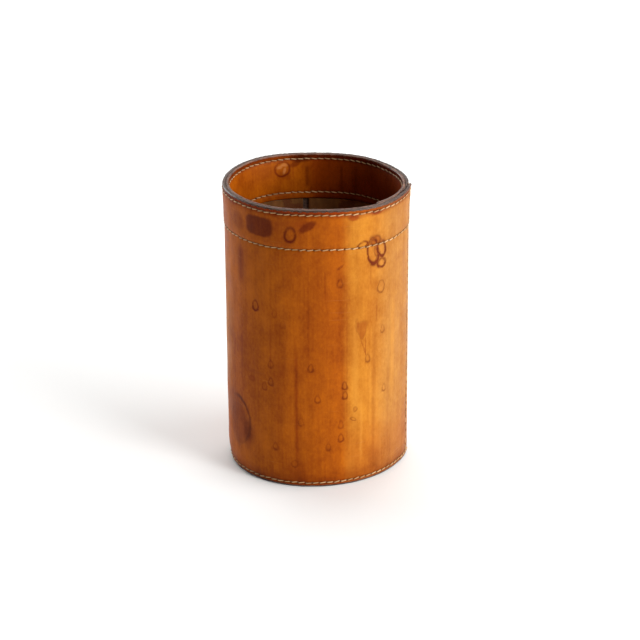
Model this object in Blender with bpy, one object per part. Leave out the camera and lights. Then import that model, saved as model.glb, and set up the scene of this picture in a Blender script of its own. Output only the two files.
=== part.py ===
"""Leather dice cup.

A straight leather cup. One strip of saddle leather is rolled into the wall and lapped at the
+X side, where a vertical row of stitches closes it. A second strip, the mouth band, lines the
top of the wall and is held by one row of stitches under the rim and one above its lower edge.
A moulded leather dish closes the bottom. Its turned-down flange is stitched to the foot of the
wall. A thin lining sleeve, a stiffening board and a felt pad finish the inside.

Every row of stitches is a lockstitch of two threads: the needle thread shows on the outside and
the bobbin thread on the inside. Each is one continuous piece that lies in a shallow groove.

Frame: metres, +Z up, origin at the centre of the foot, -Y the front, the side seam at +X.
Angles are in degrees, counter-clockwise seen from above, from +X.
"""

import math

import bmesh
import bpy
from mathutils import Vector

MM = 0.001

# Driving dimensions
CUP_RADIUS = 44.0 * MM
CUP_HEIGHT = 140.0 * MM
WALL_THICKNESS = 1.6 * MM
BAND_THICKNESS = 1.3 * MM
LINING_THICKNESS = 0.6 * MM
DISH_THICKNESS = 1.5 * MM
RECESS_DEPTH = 5.0 * MM

# Gaps between pieces that touch in the real cup
SEAT_GAP = 0.2 * MM
LOOSE_GAP = 0.3 * MM
LAP_GAP = 0.15 * MM

# Facets of round pieces
STEPS = 60
STEP_DEG = 360.0 / STEPS

# Stitching. A thread swells between its holes and is drawn thin in them. Whole numbers of seam
# stitches lie between the round rows, so a round row crosses the seam where the seam has a hole.
THREAD_WIDTH = 0.65 * MM
THREAD_SWELL = 0.45 * MM
THREAD_THIN = 0.12 * MM
THREAD_CLEARANCE = 0.12 * MM
HIDDEN_SWELL = 0.25 * MM
HIDDEN_CLEARANCE = 0.05 * MM
CROSSING_LIFT = 0.2 * MM
GROOVE_WIDTH = 1.1 * MM
GROOVE_FLOOR = 0.8 * MM
GROOVE_DEPTH = 0.35 * MM
HEM_ROW_Z = 2.1 * MM
BAND_ROW_Z = 120.7 * MM
RIM_ROW_Z = 137.7 * MM
ROWS_ON_WALL = (HEM_ROW_Z, BAND_ROW_Z, RIM_ROW_Z)
ROWS_ON_BAND = (BAND_ROW_Z, RIM_ROW_Z)
MOUTH_STITCHES = 78
HEM_STITCHES = 80
SEAM_STITCHES_TO_BAND = 32
SEAM_STITCHES_TO_RIM = 5

# The wall's lap: the outer flap's edge, how far the two flaps overlap, and how they are skived
LAP_DEG = -5.5
LAP_OVERLAP_DEG = 14.5
LAP_BLEND_DEG = 25.0
LAP_RISE = 0.6 * MM
UNDER_FLAP_ROOT = 1.0 * MM
UNDER_FLAP_TIP = 0.5 * MM
SHOULDER_DEG = 8.0
SEAM_DEG_FROM_LAP = 4.0
SEAM_DEG = LAP_DEG - SEAM_DEG_FROM_LAP

# The band's lap is staggered from the wall's
BAND_LAP_DEG = -47.0
BAND_OVERLAP_DEG = 23.0
BAND_UNDER_TIP = 0.35 * MM
BAND_LAP_BLEND_DEG = 42.0
BAND_DEPTH = 22.6 * MM

EDGE_ROUND = 0.6 * MM
EDGE_RELIEF = 0.35 * MM
LINING_SLIT = 2.6 * MM
LINING_SLIT_DEG = 96.7
BOARD_THICKNESS = 1.5 * MM
PAD_THICKNESS = 1.2 * MM

# Radii and levels that follow from them
WALL_INNER = CUP_RADIUS - WALL_THICKNESS
BAND_OUTER = WALL_INNER - SEAT_GAP
BAND_INNER = BAND_OUTER - BAND_THICKNESS
LINING_OUTER = WALL_INNER - LOOSE_GAP
LINING_INNER = LINING_OUTER - LINING_THICKNESS
DISH_OUTER = WALL_INNER - LOOSE_GAP
FLANGE_INNER = DISH_OUTER - DISH_THICKNESS
DISH_TOP = RECESS_DEPTH + 2.0 * MM
BAND_FOOT_Z = CUP_HEIGHT - BAND_DEPTH
LINING_FOOT_Z = DISH_TOP + SEAT_GAP
LINING_TOP_Z = BAND_FOOT_Z - LOOSE_GAP
BOARD_Z = DISH_TOP + SEAT_GAP
PAD_Z = BOARD_Z + BOARD_THICKNESS + SEAT_GAP
FLOOR_RADIUS = LINING_INNER - LOOSE_GAP


def ramp(value, start, end):
    """0 before start, 1 after end, straight between them."""
    return min(1.0, max(0.0, (value - start) / (end - start)))


def on_cylinder(radius, degrees, z):
    angle = math.radians(degrees)
    return Vector((radius * math.cos(angle), radius * math.sin(angle), z))


def groove_stations(centre):
    """The four levels across a stitch groove: its two shoulders and the two sides of its floor."""
    half_width = GROOVE_WIDTH / 2
    half_floor = GROOVE_FLOOR / 2
    return [centre - half_width, centre - half_floor, centre + half_floor, centre + half_width]


def groove_depth(distance):
    """How deep a stitch groove is at this distance from its centre line."""
    return GROOVE_DEPTH * (1.0 - ramp(abs(distance), GROOVE_FLOOR / 2, GROOVE_WIDTH / 2))


def edge_relief(distance):
    """How far a face draws back at this distance from a cut, rounded edge."""
    return EDGE_RELIEF * (1.0 - ramp(distance, 0.0, EDGE_ROUND)) ** 2


def edge_stations(low, high):
    """Levels that follow the rounding of the lower and the upper edge of a strip."""
    steps = [0.0, 0.3 * EDGE_ROUND, EDGE_ROUND]
    return [low + step for step in steps], [high - step for step in reversed(steps)]


# ---- materials and objects -----------------------------------------------------------------


def material(name, colour, roughness):
    made = bpy.data.materials.new(name)
    made.use_nodes = True
    shader = made.node_tree.nodes["Principled BSDF"]
    shader.inputs["Base Color"].default_value = (*colour, 1.0)
    shader.inputs["Roughness"].default_value = roughness
    shader.inputs["Metallic"].default_value = 0.0
    made.diffuse_color = (*colour, 1.0)
    return made


def add_object(name, mesh, surface, parent):
    mesh.materials.append(surface)
    mesh.shade_smooth()
    mesh.set_sharp_from_angle(angle=math.radians(35.0))
    made = bpy.data.objects.new(name, mesh)
    bpy.context.scene.collection.objects.link(made)
    made.parent = parent
    return made


def loft(name, sections, is_ring, surface, parent):
    """A solid through its sections, closed into a ring or capped at its two ends."""
    shape = bmesh.new()
    rings = [[shape.verts.new(point) for point in section] for section in sections]
    followers = rings[1:] + rings[:1] if is_ring else rings[1:]
    for first, second in zip(rings, followers):
        for i, corner in enumerate(first):
            j = (i + 1) % len(first)
            shape.faces.new((corner, first[j], second[j], second[i]))
    if not is_ring:
        shape.faces.new(rings[0])
        shape.faces.new(list(reversed(rings[-1])))
    bmesh.ops.recalc_face_normals(shape, faces=shape.faces)
    mesh = bpy.data.meshes.new(name)
    shape.to_mesh(mesh)
    shape.free()
    return add_object(name, mesh, surface, parent)


def strip_sections(stations, outer, inner, outer_levels, inner_levels):
    """Sections of a leather strip rolled round the cup's axis.

    stations are the angles along it. outer and inner give each face's radius at an angle and a
    level. Past a full turn the strip laps itself, so its angles are not wrapped.
    """
    sections = []
    for degrees in stations:
        outside = [on_cylinder(outer(degrees, z), degrees, z) for z in outer_levels]
        inside = [on_cylinder(inner(degrees, z), degrees, z) for z in reversed(inner_levels)]
        sections.append(outside + inside)
    return sections


def turned(name, profile, surface, parent):
    """A round piece: a half outline of (radius, level), from the axis down its outer side and
    back to the axis, turned by a Screw modifier."""
    points = [Vector((radius, 0.0, z)) for radius, z in profile]
    mesh = bpy.data.meshes.new(name)
    mesh.from_pydata(points, [(i, i + 1) for i in range(len(points) - 1)], [])
    made = add_object(name, mesh, surface, parent)
    screw = made.modifiers.new("turn", "SCREW")
    screw.axis = "Z"
    screw.angle = math.tau
    screw.steps = STEPS
    screw.render_steps = STEPS
    screw.use_merge_vertices = True
    screw.merge_threshold = 0.00001
    screw.use_smooth_shade = True
    return made


# ---- the wall ------------------------------------------------------------------------------
# Its angles count down from the lap: the strip starts at the outer flap's edge, runs clockwise
# round the front, the left and the back, and ends as the under flap.


def past_wall_lap(degrees):
    """Degrees travelled along the wall strip from the outer flap's edge."""
    return LAP_DEG - degrees


def under_flap(travel):
    """The under flap's skived thickness, travel degrees in from the outer flap's edge."""
    tip = ramp(travel, 0.0, LAP_OVERLAP_DEG)
    return UNDER_FLAP_ROOT + (UNDER_FLAP_TIP - UNDER_FLAP_ROOT) * tip


def seam_groove(travel):
    return groove_depth(math.radians(travel - SEAM_DEG_FROM_LAP) * CUP_RADIUS)


def wall_skin(degrees):
    """The wall's outer radius before its grooves and rounded edges."""
    travel = past_wall_lap(degrees)
    if travel >= 360.0:
        return WALL_INNER + under_flap(travel - 360.0)
    if travel >= 360.0 - SHOULDER_DEG:
        drop = WALL_THICKNESS - UNDER_FLAP_ROOT
        return CUP_RADIUS - drop * ramp(travel, 360.0 - SHOULDER_DEG, 360.0)
    return CUP_RADIUS + LAP_RISE * (1.0 - ramp(travel, SEAM_DEG_FROM_LAP, LAP_BLEND_DEG))


def wall_outer(degrees, z):
    travel = past_wall_lap(degrees)
    radius = wall_skin(degrees) - edge_relief(z) - edge_relief(CUP_HEIGHT - z)
    if travel > 360.0:
        return radius
    depths = [groove_depth(z - row) for row in ROWS_ON_WALL]
    if HEM_ROW_Z < z < RIM_ROW_Z:
        depths.append(seam_groove(travel))
    return radius - max(depths)


def wall_inner(degrees, z):
    travel = past_wall_lap(degrees)
    if travel >= 360.0:
        return WALL_INNER + seam_groove(travel - 360.0)
    over = WALL_INNER + under_flap(travel) + LAP_GAP
    settle = ramp(travel, LAP_OVERLAP_DEG, LAP_OVERLAP_DEG + 3.0)
    return over + (WALL_INNER - over) * settle


def wall_stations():
    groove = [
        SEAM_DEG_FROM_LAP + math.degrees(offset / CUP_RADIUS) for offset in groove_stations(0.0)
    ]
    lap = [0.0, *groove, LAP_OVERLAP_DEG * 0.65, LAP_OVERLAP_DEG]
    start = LAP_OVERLAP_DEG + 3.0
    end = 360.0 - SHOULDER_DEG
    count = round((end - start) / STEP_DEG)
    body = [start + (end - start) * i / count for i in range(count + 1)]
    under = [360.0 + travel for travel in lap]
    return [LAP_DEG - travel for travel in [*lap, *body, 356.0, *under]]


def build_wall(surface, parent):
    foot, rim = edge_stations(0.0, CUP_HEIGHT)
    rows = [z for row in ROWS_ON_WALL for z in groove_stations(row)]
    outer_levels = [*foot, *rows, *rim]
    inner_levels = [0.0, CUP_HEIGHT]
    sections = strip_sections(
        wall_stations(), wall_outer, wall_inner, outer_levels, inner_levels
    )
    return loft("outer_wall", sections, False, surface, parent)


# ---- the mouth band ------------------------------------------------------------------------
# Its angles count up from its own lap: the strip starts at the inner flap's edge, which shows
# inside the mouth, and ends skived thin between that flap and the wall.


def past_band_lap(degrees):
    return degrees - BAND_LAP_DEG


def band_under(travel):
    """Thickness of the band's hidden end, travel degrees in from the inner flap's edge."""
    tip = ramp(travel, 0.0, BAND_OVERLAP_DEG)
    return BAND_THICKNESS + (BAND_UNDER_TIP - BAND_THICKNESS) * tip


def band_face(degrees):
    """The band's inner radius before its grooves and rounded edges."""
    travel = past_band_lap(degrees)
    if travel >= 360.0:
        return BAND_OUTER - band_under(travel - 360.0)
    flap = BAND_OUTER - band_under(travel) - LAP_GAP - BAND_THICKNESS
    if travel > BAND_OVERLAP_DEG:
        flap = BAND_OUTER - BAND_UNDER_TIP - LAP_GAP - BAND_THICKNESS
    return flap + (BAND_INNER - flap) * ramp(travel, BAND_OVERLAP_DEG, BAND_LAP_BLEND_DEG)


def band_inner(degrees, z):
    radius = band_face(degrees)
    if past_band_lap(degrees) >= 360.0:
        return radius
    relief = edge_relief(z - BAND_FOOT_Z) + edge_relief(CUP_HEIGHT - z)
    depth = max(groove_depth(z - row) for row in ROWS_ON_BAND)
    return radius + relief + depth


def band_outer(degrees, z):
    travel = past_band_lap(degrees)
    if travel >= 360.0:
        return BAND_OUTER
    over = BAND_OUTER - band_under(travel) - LAP_GAP
    settle = ramp(travel, BAND_OVERLAP_DEG, BAND_OVERLAP_DEG + 3.0)
    return over + (BAND_OUTER - over) * settle


def build_band(surface, parent):
    lap = [BAND_OVERLAP_DEG * share for share in (0.0, 0.25, 0.5, 0.75, 1.0)]
    start = BAND_OVERLAP_DEG + 3.0
    count = round((360.0 - start) / STEP_DEG)
    body = [start + (359.9 - start) * i / count for i in range(count + 1)]
    under = [360.0 + travel for travel in lap[1:]]
    stations = [BAND_LAP_DEG + travel for travel in [*lap, *body, *under]]
    foot, rim = edge_stations(BAND_FOOT_Z, CUP_HEIGHT)
    rows = [z for row in ROWS_ON_BAND for z in groove_stations(row)]
    outer_levels = [BAND_FOOT_Z, CUP_HEIGHT]
    inner_levels = [*foot, *rows, *rim]
    sections = strip_sections(stations, band_outer, band_inner, outer_levels, inner_levels)
    return loft("mouth_band", sections, False, surface, parent)


# ---- lining, base and floor ----------------------------------------------------------------


def build_lining(surface, parent):
    """A thin sleeve whose ends butt at the back, with a slit between them."""
    half_slit = math.degrees(LINING_SLIT / 2 / LINING_INNER)
    start = LINING_SLIT_DEG + half_slit
    sweep = 360.0 - 2 * half_slit
    stations = [start + sweep * i / STEPS for i in range(STEPS + 1)]
    levels = [LINING_FOOT_Z, LINING_TOP_Z]
    sections = strip_sections(
        stations, lambda degrees, z: LINING_OUTER, lambda degrees, z: LINING_INNER, levels, levels
    )
    return loft("wall_lining", sections, False, surface, parent)


def build_dish(surface, parent):
    """The bottom, moulded to a shallow dish and set in upside down, so the flange points down."""
    shoulder = 0.8 * MM
    edge = 0.3 * MM
    groove = [
        (FLANGE_INNER + groove_depth(z - HEM_ROW_Z), z) for z in groove_stations(HEM_ROW_Z)
    ]
    profile = [
        (0.0, DISH_TOP),
        (DISH_OUTER - shoulder, DISH_TOP),
        (DISH_OUTER - shoulder * 0.3, DISH_TOP - shoulder * 0.3),
        (DISH_OUTER, DISH_TOP - shoulder),
        (DISH_OUTER, edge),
        (DISH_OUTER - edge, 0.0),
        (FLANGE_INNER + edge, 0.0),
        (FLANGE_INNER, edge),
        *groove,
        (FLANGE_INNER, RECESS_DEPTH - shoulder),
        (FLANGE_INNER - shoulder, RECESS_DEPTH),
        (0.0, RECESS_DEPTH),
    ]
    return turned("base_dish", profile, surface, parent)


def build_disc(name, radius, foot_z, thickness, surface, parent):
    edge = 0.25 * MM
    top_z = foot_z + thickness
    profile = [
        (0.0, top_z),
        (radius - edge, top_z),
        (radius, top_z - edge),
        (radius, foot_z),
        (0.0, foot_z),
    ]
    return turned(name, profile, surface, parent)


# ---- threads -------------------------------------------------------------------------------
# A thread's section is a low triangle: two corners at its underside and a ridge between them.


def round_thread(name, count, z, underside, outward, surface, parent):
    """A thread that runs round the cup. underside gives the radius it lies at over a span of
    degrees; outward is 1 on the outside and -1 on the inside."""
    half_pitch = 180.0 / count
    sections = []
    for i in range(2 * count):
        degrees = SEAM_DEG + i * half_pitch
        swell = THREAD_SWELL if i % 2 == 0 else THREAD_THIN
        lift = CROSSING_LIFT if i == 0 and outward > 0 else 0.0
        low = underside(degrees, half_pitch) + outward * lift
        sections.append((
            on_cylinder(low, degrees, z - THREAD_WIDTH / 2),
            on_cylinder(low + outward * swell, degrees, z),
            on_cylinder(low, degrees, z + THREAD_WIDTH / 2),
        ))
    return loft(name, sections, True, surface, parent)


def seam_levels():
    """Levels up the seam at every hole and halfway between, from near the hem's row, which the
    first stitch runs under, to near the rim's."""
    below = (BAND_ROW_Z - HEM_ROW_Z) / SEAM_STITCHES_TO_BAND / 2
    above = (RIM_ROW_Z - BAND_ROW_Z) / SEAM_STITCHES_TO_RIM / 2
    lower = [HEM_ROW_Z + below * i for i in range(1, 2 * SEAM_STITCHES_TO_BAND)]
    upper = [BAND_ROW_Z + above * i for i in range(2 * SEAM_STITCHES_TO_RIM)]
    return [HEM_ROW_Z + below / 2, *lower, *upper, RIM_ROW_Z - above / 2]


def seam_thread(name, underside, outward, swell, surface, parent):
    """A thread that runs up the seam."""
    half_width = math.degrees(THREAD_WIDTH / 2 / underside)
    sections = []
    for i, z in enumerate(seam_levels()):
        height = swell if i % 2 == 1 else THREAD_THIN
        sections.append((
            on_cylinder(underside, SEAM_DEG - half_width, z),
            on_cylinder(underside + outward * height, SEAM_DEG, z),
            on_cylinder(underside, SEAM_DEG + half_width, z),
        ))
    return loft(name, sections, False, surface, parent)


def spread(degrees, reach):
    """Evenly spaced angles from reach before to reach after."""
    return [degrees + reach * i / 4 for i in range(-4, 5)]


def on_wall(degrees, reach):
    """Underside of a thread in a groove of the wall's outer face: above its highest ground."""
    travels = [past_wall_lap(angle) % 360.0 for angle in spread(degrees, reach)]
    skin = max(wall_skin(LAP_DEG - travel) for travel in travels)
    return skin - GROOVE_DEPTH + THREAD_CLEARANCE


def in_band(degrees, reach):
    """Underside of a thread in a groove of the band's inner face."""
    travels = [past_band_lap(angle) % 360.0 for angle in spread(degrees, reach)]
    face = min(band_face(BAND_LAP_DEG + travel) for travel in travels)
    return face + GROOVE_DEPTH - THREAD_CLEARANCE


def in_flange(degrees, reach):
    """Underside of a thread in the groove inside the dish's flange."""
    return FLANGE_INNER + GROOVE_DEPTH - THREAD_CLEARANCE


def build_threads(needle, bobbin, parent):
    rim = (MOUTH_STITCHES, RIM_ROW_Z)
    band = (MOUTH_STITCHES, BAND_ROW_Z)
    hem = (HEM_STITCHES, HEM_ROW_Z)
    round_thread("rim_needle_thread", *rim, on_wall, 1, needle, parent)
    round_thread("rim_bobbin_thread", *rim, in_band, -1, bobbin, parent)
    round_thread("band_needle_thread", *band, on_wall, 1, needle, parent)
    round_thread("band_bobbin_thread", *band, in_band, -1, bobbin, parent)
    round_thread("hem_needle_thread", *hem, on_wall, 1, needle, parent)
    round_thread("hem_bobbin_thread", *hem, in_flange, -1, bobbin, parent)

    outside = on_wall(SEAM_DEG, 0.0)
    seam_thread("seam_needle_thread", outside, 1, THREAD_SWELL, needle, parent)
    inside = WALL_INNER + GROOVE_DEPTH - HIDDEN_CLEARANCE
    seam_thread("seam_bobbin_thread", inside, -1, HIDDEN_SWELL, bobbin, parent)


# ---- the cup -------------------------------------------------------------------------------


def main():
    for old in list(bpy.data.objects):
        bpy.data.objects.remove(old)
    cup = bpy.data.objects.new("cup", None)
    bpy.context.scene.collection.objects.link(cup)

    saddle = material("saddle_leather", (0.42, 0.15, 0.03), 0.35)
    band = material("band_leather", (0.33, 0.11, 0.02), 0.35)
    suede = material("lining_suede", (0.13, 0.06, 0.02), 0.9)
    sole = material("sole_leather", (0.24, 0.09, 0.03), 0.55)
    board = material("leatherboard", (0.30, 0.20, 0.11), 0.9)
    felt = material("floor_felt", (0.10, 0.05, 0.02), 1.0)
    needle = material("needle_thread", (0.72, 0.52, 0.30), 0.7)
    bobbin = material("bobbin_thread", (0.60, 0.42, 0.24), 0.7)

    build_wall(saddle, cup)
    build_band(band, cup)
    build_lining(suede, cup)
    build_dish(sole, cup)
    build_disc("base_board", FLOOR_RADIUS, BOARD_Z, BOARD_THICKNESS, board, cup)
    build_disc("felt_disc", FLOOR_RADIUS, PAD_Z, PAD_THICKNESS, felt, cup)
    build_threads(needle, bobbin, cup)


main()
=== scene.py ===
"""Looks of the leather dice cup.

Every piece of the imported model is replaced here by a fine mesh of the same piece: strips of
leather with rolled edges, stitch grooves and awl holes, twisted threads that dive into the
holes, a suede sleeve, a moulded base and a felt floor. The lengths in this script are
millimetres until a mesh is made, and its angles are degrees, counter-clockwise seen from above,
from +X. The front is -Y and the side seam is near +X.
"""

import math

import bpy
import numpy as np
from mathutils import Matrix, Vector


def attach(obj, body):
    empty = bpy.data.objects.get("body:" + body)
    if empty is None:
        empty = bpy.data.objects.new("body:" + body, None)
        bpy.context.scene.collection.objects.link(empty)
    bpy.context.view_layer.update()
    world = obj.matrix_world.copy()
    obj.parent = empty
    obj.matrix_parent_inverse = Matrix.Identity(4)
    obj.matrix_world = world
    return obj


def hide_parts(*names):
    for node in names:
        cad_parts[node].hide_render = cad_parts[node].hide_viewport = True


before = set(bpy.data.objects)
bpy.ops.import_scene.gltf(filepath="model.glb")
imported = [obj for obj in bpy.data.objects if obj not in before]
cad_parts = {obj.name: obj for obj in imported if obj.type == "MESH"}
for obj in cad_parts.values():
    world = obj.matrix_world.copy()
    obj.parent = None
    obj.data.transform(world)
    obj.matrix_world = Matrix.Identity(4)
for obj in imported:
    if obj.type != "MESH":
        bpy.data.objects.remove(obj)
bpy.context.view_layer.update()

MM = 0.001


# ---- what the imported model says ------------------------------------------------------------


def extent(node):
    """Nearest and farthest that a node comes to the cup's axis, and its lowest and highest level."""
    points = np.array([v.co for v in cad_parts[node].data.vertices], float) / MM
    reach = np.hypot(points[:, 0], points[:, 1])
    return reach.min(), reach.max(), points[:, 2].min(), points[:, 2].max()


def middle_level(node):
    low, high = extent(node)[2:]
    return (low + high) / 2


WALL_INNER, _, _, CUP_HEIGHT = extent("outer_wall")
_, BAND_OUTER, BAND_FOOT, _ = extent("mouth_band")
_, LINING_OUTER, LINING_FOOT, LINING_TOP = extent("wall_lining")
_, DISH_OUTER, _, DISH_TOP = extent("base_dish")
_, BOARD_RADIUS, BOARD_FOOT, BOARD_TOP = extent("base_board")
_, PAD_RADIUS, PAD_FOOT, PAD_TOP = extent("felt_disc")
RIM_ROW = middle_level("rim_needle_thread")
BAND_ROW = middle_level("band_needle_thread")
HEM_ROW = middle_level("hem_needle_thread")

# Thicknesses and gaps of the leathers
WALL_THICKNESS = 1.6
BAND_THICKNESS = 1.3
LINING_THICKNESS = 0.6
DISH_THICKNESS = 1.5
RECESS_TOP = DISH_TOP - 2.0
CUP_RADIUS = WALL_INNER + WALL_THICKNESS
ARC = math.radians(CUP_RADIUS)  # millimetres along the wall for each degree

# Stitches
MOUTH_STITCHES = 78
HEM_STITCHES = 80
SEAM_STITCHES_TO_BAND = 32
SEAM_STITCHES_TO_RIM = 5
THREAD_RADIUS = 0.25
THREAD_LIFT = 0.26

# The wall's lap, where the outer flap lies over the under flap
LAP_DEG = -5.5
LAP_OVERLAP = 14.5
LAP_BLEND = 25.0
LAP_RISE = 0.6
LAP_GAP = 0.12
UNDER_ROOT = 1.0
UNDER_TIP = 0.5
SHOULDER = 8.0
SEAM_TRAVEL = 5.2
SEAM_DEG = LAP_DEG - SEAM_TRAVEL

# The mouth band's inner face, and its lap
BAND_FACE = 41.0
BAND_LAP_DEG = -47.0
BAND_OVERLAP = 23.0
BAND_BLEND = 42.0
BAND_UNDER_TIP = 0.35

# Edges: the burnished lip is taller than it is deep
LIP_HEIGHT = 0.85
LIP_INSET = 0.6
EDGE_ROUND = 0.3
CUT_END_STEPS = np.array([0.0, 0.02, 0.08, 0.18, 0.34, 0.55, 0.9, 1.4])
BURNISH_TOP = CUP_HEIGHT - 0.6
BAND_BURNISH_TOP = CUP_HEIGHT + 0.1
BURNISH_FOOT = 0.9

LINING_SLIT = 2.6
LINING_SLIT_DEG = 96.7

# How the cup has gone out of round: a share of its radius, across the diagonals
OVAL_RIM = -0.026
OVAL_FOOT = 0.028

# The mouth flares a little, and its back stands higher
MOUTH_FLARE = 0.5
BACK_RISE = 0.95
BACK_RISE_DEG = 98.0
BACK_RISE_WIDTH = 62.0

# The foot is pressed in on one side
FOOT_TUCK = 1.2
FOOT_TUCK_DEG = -160.0
FOOT_TUCK_WIDTH = 42.0


# ---- curves and waves ----------------------------------------------------------------------


def ramp(value, start, end):
    """0 before start, 1 after end, straight between them."""
    return np.clip((value - start) / (end - start), 0.0, 1.0)


def ease(value, start, end):
    share = ramp(value, start, end)
    return share * share * (3.0 - 2.0 * share)


def bell(distance, width):
    return np.exp(-((distance / width) ** 2))


def waves(seed, count, turns, rises, size):
    """A seeded sum of waves round the cup and up it: a function of degrees and level."""
    draw = np.random.default_rng(seed)
    around = draw.integers(turns[0], turns[1] + 1, count)
    upward = draw.uniform(rises[0], rises[1], count)
    phase = draw.uniform(0.0, math.tau, count)
    strength = draw.uniform(0.5, 1.0, count)
    strength *= size / math.sqrt((strength**2).sum() / 2)

    def height(degrees, level):
        total = 0.0
        for a, b, c, d in zip(around, upward, phase, strength):
            total = total + d * np.sin(a * np.radians(degrees) + b * level / CUP_HEIGHT + c)
        return total

    return height


slow_wave = waves(3, 9, (2, 6), (-7.0, 7.0), 0.10)
hand_wave = waves(5, 24, (7, 30), (-40.0, 40.0), 0.028)
skin_wave = waves(7, 30, (40, 150), (-160.0, 160.0), 0.008)
rim_wave = waves(9, 5, (2, 5), (0.0, 0.0), 0.16)
nick_wave = waves(29, 40, (30, 150), (0.0, 0.0), 0.05)


def place(degrees, radius, level):
    """Points in metres, with the cup's own warp: it is slightly oval, differently at rim and foot."""
    height = level / CUP_HEIGHT
    oval = (OVAL_FOOT + (OVAL_RIM - OVAL_FOOT) * height) * np.sin(np.radians(2.0 * degrees))
    radius = radius * (1.0 + oval + slow_wave(degrees, level) / CUP_RADIUS)
    radius = radius + MOUTH_FLARE * ease(level, CUP_HEIGHT - 12.0, CUP_HEIGHT)
    from_tuck = (degrees - FOOT_TUCK_DEG + 180.0) % 360.0 - 180.0
    radius = radius - FOOT_TUCK * bell(from_tuck, FOOT_TUCK_WIDTH) * (1.0 - ease(level, 0.0, 9.0))
    angle = np.radians(degrees)
    from_back = (degrees - BACK_RISE_DEG + 180.0) % 360.0 - 180.0
    level = level + BACK_RISE * bell(from_back, BACK_RISE_WIDTH) * ease(level, 60.0, CUP_HEIGHT)
    level = level + rim_wave(degrees, 0.0) * ramp(level, 0.0, CUP_HEIGHT)
    level = level + nick_wave(degrees, 0.0) * ease(level, CUP_HEIGHT - 0.7, CUP_HEIGHT)
    return np.stack([radius * np.cos(angle), radius * np.sin(angle), level], axis=-1) * MM


# ---- meshes --------------------------------------------------------------------------------


def mesh_object(name, points, quads, corner_uv, more_faces=()):
    """A mesh piece. corner_uv follows the quads' corners; other faces take their uv from theirs."""
    a, b, c = (points[quads[:, k]] for k in (0, 1, 2))
    volume = np.einsum("ij,ij->", points[quads[:, 0]], np.cross(b - a, points[quads[:, 3]] - a))
    volume += np.einsum("ij,ij->", c, np.cross(b - c, points[quads[:, 3]] - c)) * -1.0
    faces = quads.tolist() + [list(face) for face in more_faces]
    if volume < 0:
        faces = [face[::-1] for face in faces]
        corner_uv = corner_uv[:, ::-1]
    mesh = bpy.data.meshes.new(name)
    mesh.from_pydata(points.tolist(), [], faces)
    uv = mesh.uv_layers.new(name="wrap")
    flat = np.zeros((len(mesh.loops), 2))
    flat[: corner_uv.shape[0] * 4] = corner_uv.reshape(-1, 2)
    start = corner_uv.shape[0] * 4
    place_of = {}
    for vertex, value in zip(np.array(faces[: len(quads)]).ravel(), flat[:start]):
        place_of.setdefault(vertex, value)
    for face in faces[len(quads):]:
        for vertex in face:
            flat[start] = place_of[vertex]
            start += 1
    uv.data.foreach_set("uv", flat.ravel())
    mesh.shade_smooth()
    made = bpy.data.objects.new(name, mesh)
    bpy.context.scene.collection.objects.link(made)
    return made


def grid_object(name, points, u, v, loop_columns=False, loop_stations=False, cap="ends"):
    """A piece whose points form a grid of columns by stations. u belongs to the columns and v to
    the stations, each with one more value where the grid closes on itself."""
    columns, stations = points.shape[:2]
    index = np.arange(columns * stations).reshape(columns, stations)
    i = np.arange(columns if loop_columns else columns - 1)
    j = np.arange(stations if loop_stations else stations - 1)
    i, j = (grid.ravel() for grid in np.meshgrid(i, j, indexing="ij"))
    i_next, j_next = (i + 1) % columns, (j + 1) % stations
    quads = np.stack([index[i, j], index[i_next, j], index[i_next, j_next], index[i, j_next]], 1)
    u, v = np.asarray(u, float), np.asarray(v, float)
    if u.ndim == 1:
        u = np.repeat(u[:, None], len(v), axis=1)
    corners = [(i, j), (i + 1, j), (i + 1, j + 1), (i, j + 1)]
    corner_uv = np.stack([np.stack([u[a, b], v[b]], 1) for a, b in corners], 1)
    caps = []
    if cap == "ends" and not loop_columns:
        caps = [index[0], index[-1][::-1]]
    if cap == "centres":
        caps = [index[:, 0][::-1], index[:, -1]]
    return mesh_object(name, points.reshape(-1, 3), quads, corner_uv, caps)


def finish_piece(piece, node, slot, *materials):
    for material in materials:
        piece.data.materials.append(material)
    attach(piece, "root")
    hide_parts(node)


def use_second_material(piece, chosen):
    """Gives the second material to the faces whose uv centre is chosen."""
    mesh = piece.data
    uv = np.zeros(len(mesh.loops) * 2)
    mesh.uv_layers["wrap"].data.foreach_get("uv", uv)
    starts = np.zeros(len(mesh.polygons), int)
    mesh.polygons.foreach_get("loop_start", starts)
    sizes = np.zeros(len(mesh.polygons), int)
    mesh.polygons.foreach_get("loop_total", sizes)
    centres = np.add.reduceat(uv.reshape(-1, 2), starts, axis=0) / sizes[:, None]
    mesh.polygons.foreach_set("material_index", chosen(centres).astype(int))


# ---- stitch rows ---------------------------------------------------------------------------

ROW_OFFSETS = (-1.5, -0.9, -0.5, -0.2, 0.2, 0.5, 0.9, 1.5)
HOLE_WIDTH = 0.36
HOLE_DEPTH = 0.42
ROW_DEPTH = 0.2
ROW_WIDTH = 0.6
ROW_PULL = 0.10
ROW_PULL_WIDTH = 2.0
PUCKER = 0.035
HOLE_SLANT = 0.45
PUFF_REACH = 1.77
PUFF_OFFSET = 1.1
PUFF_WIDTH = 0.6


def from_hole(degrees, count):
    """Millimetres along the wall from the nearest hole of a round row, to the right of it."""
    pitch = 360.0 / count
    phase = (degrees - SEAM_DEG) / pitch - 0.5
    return (phase - np.round(phase)) * pitch * ARC


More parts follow.
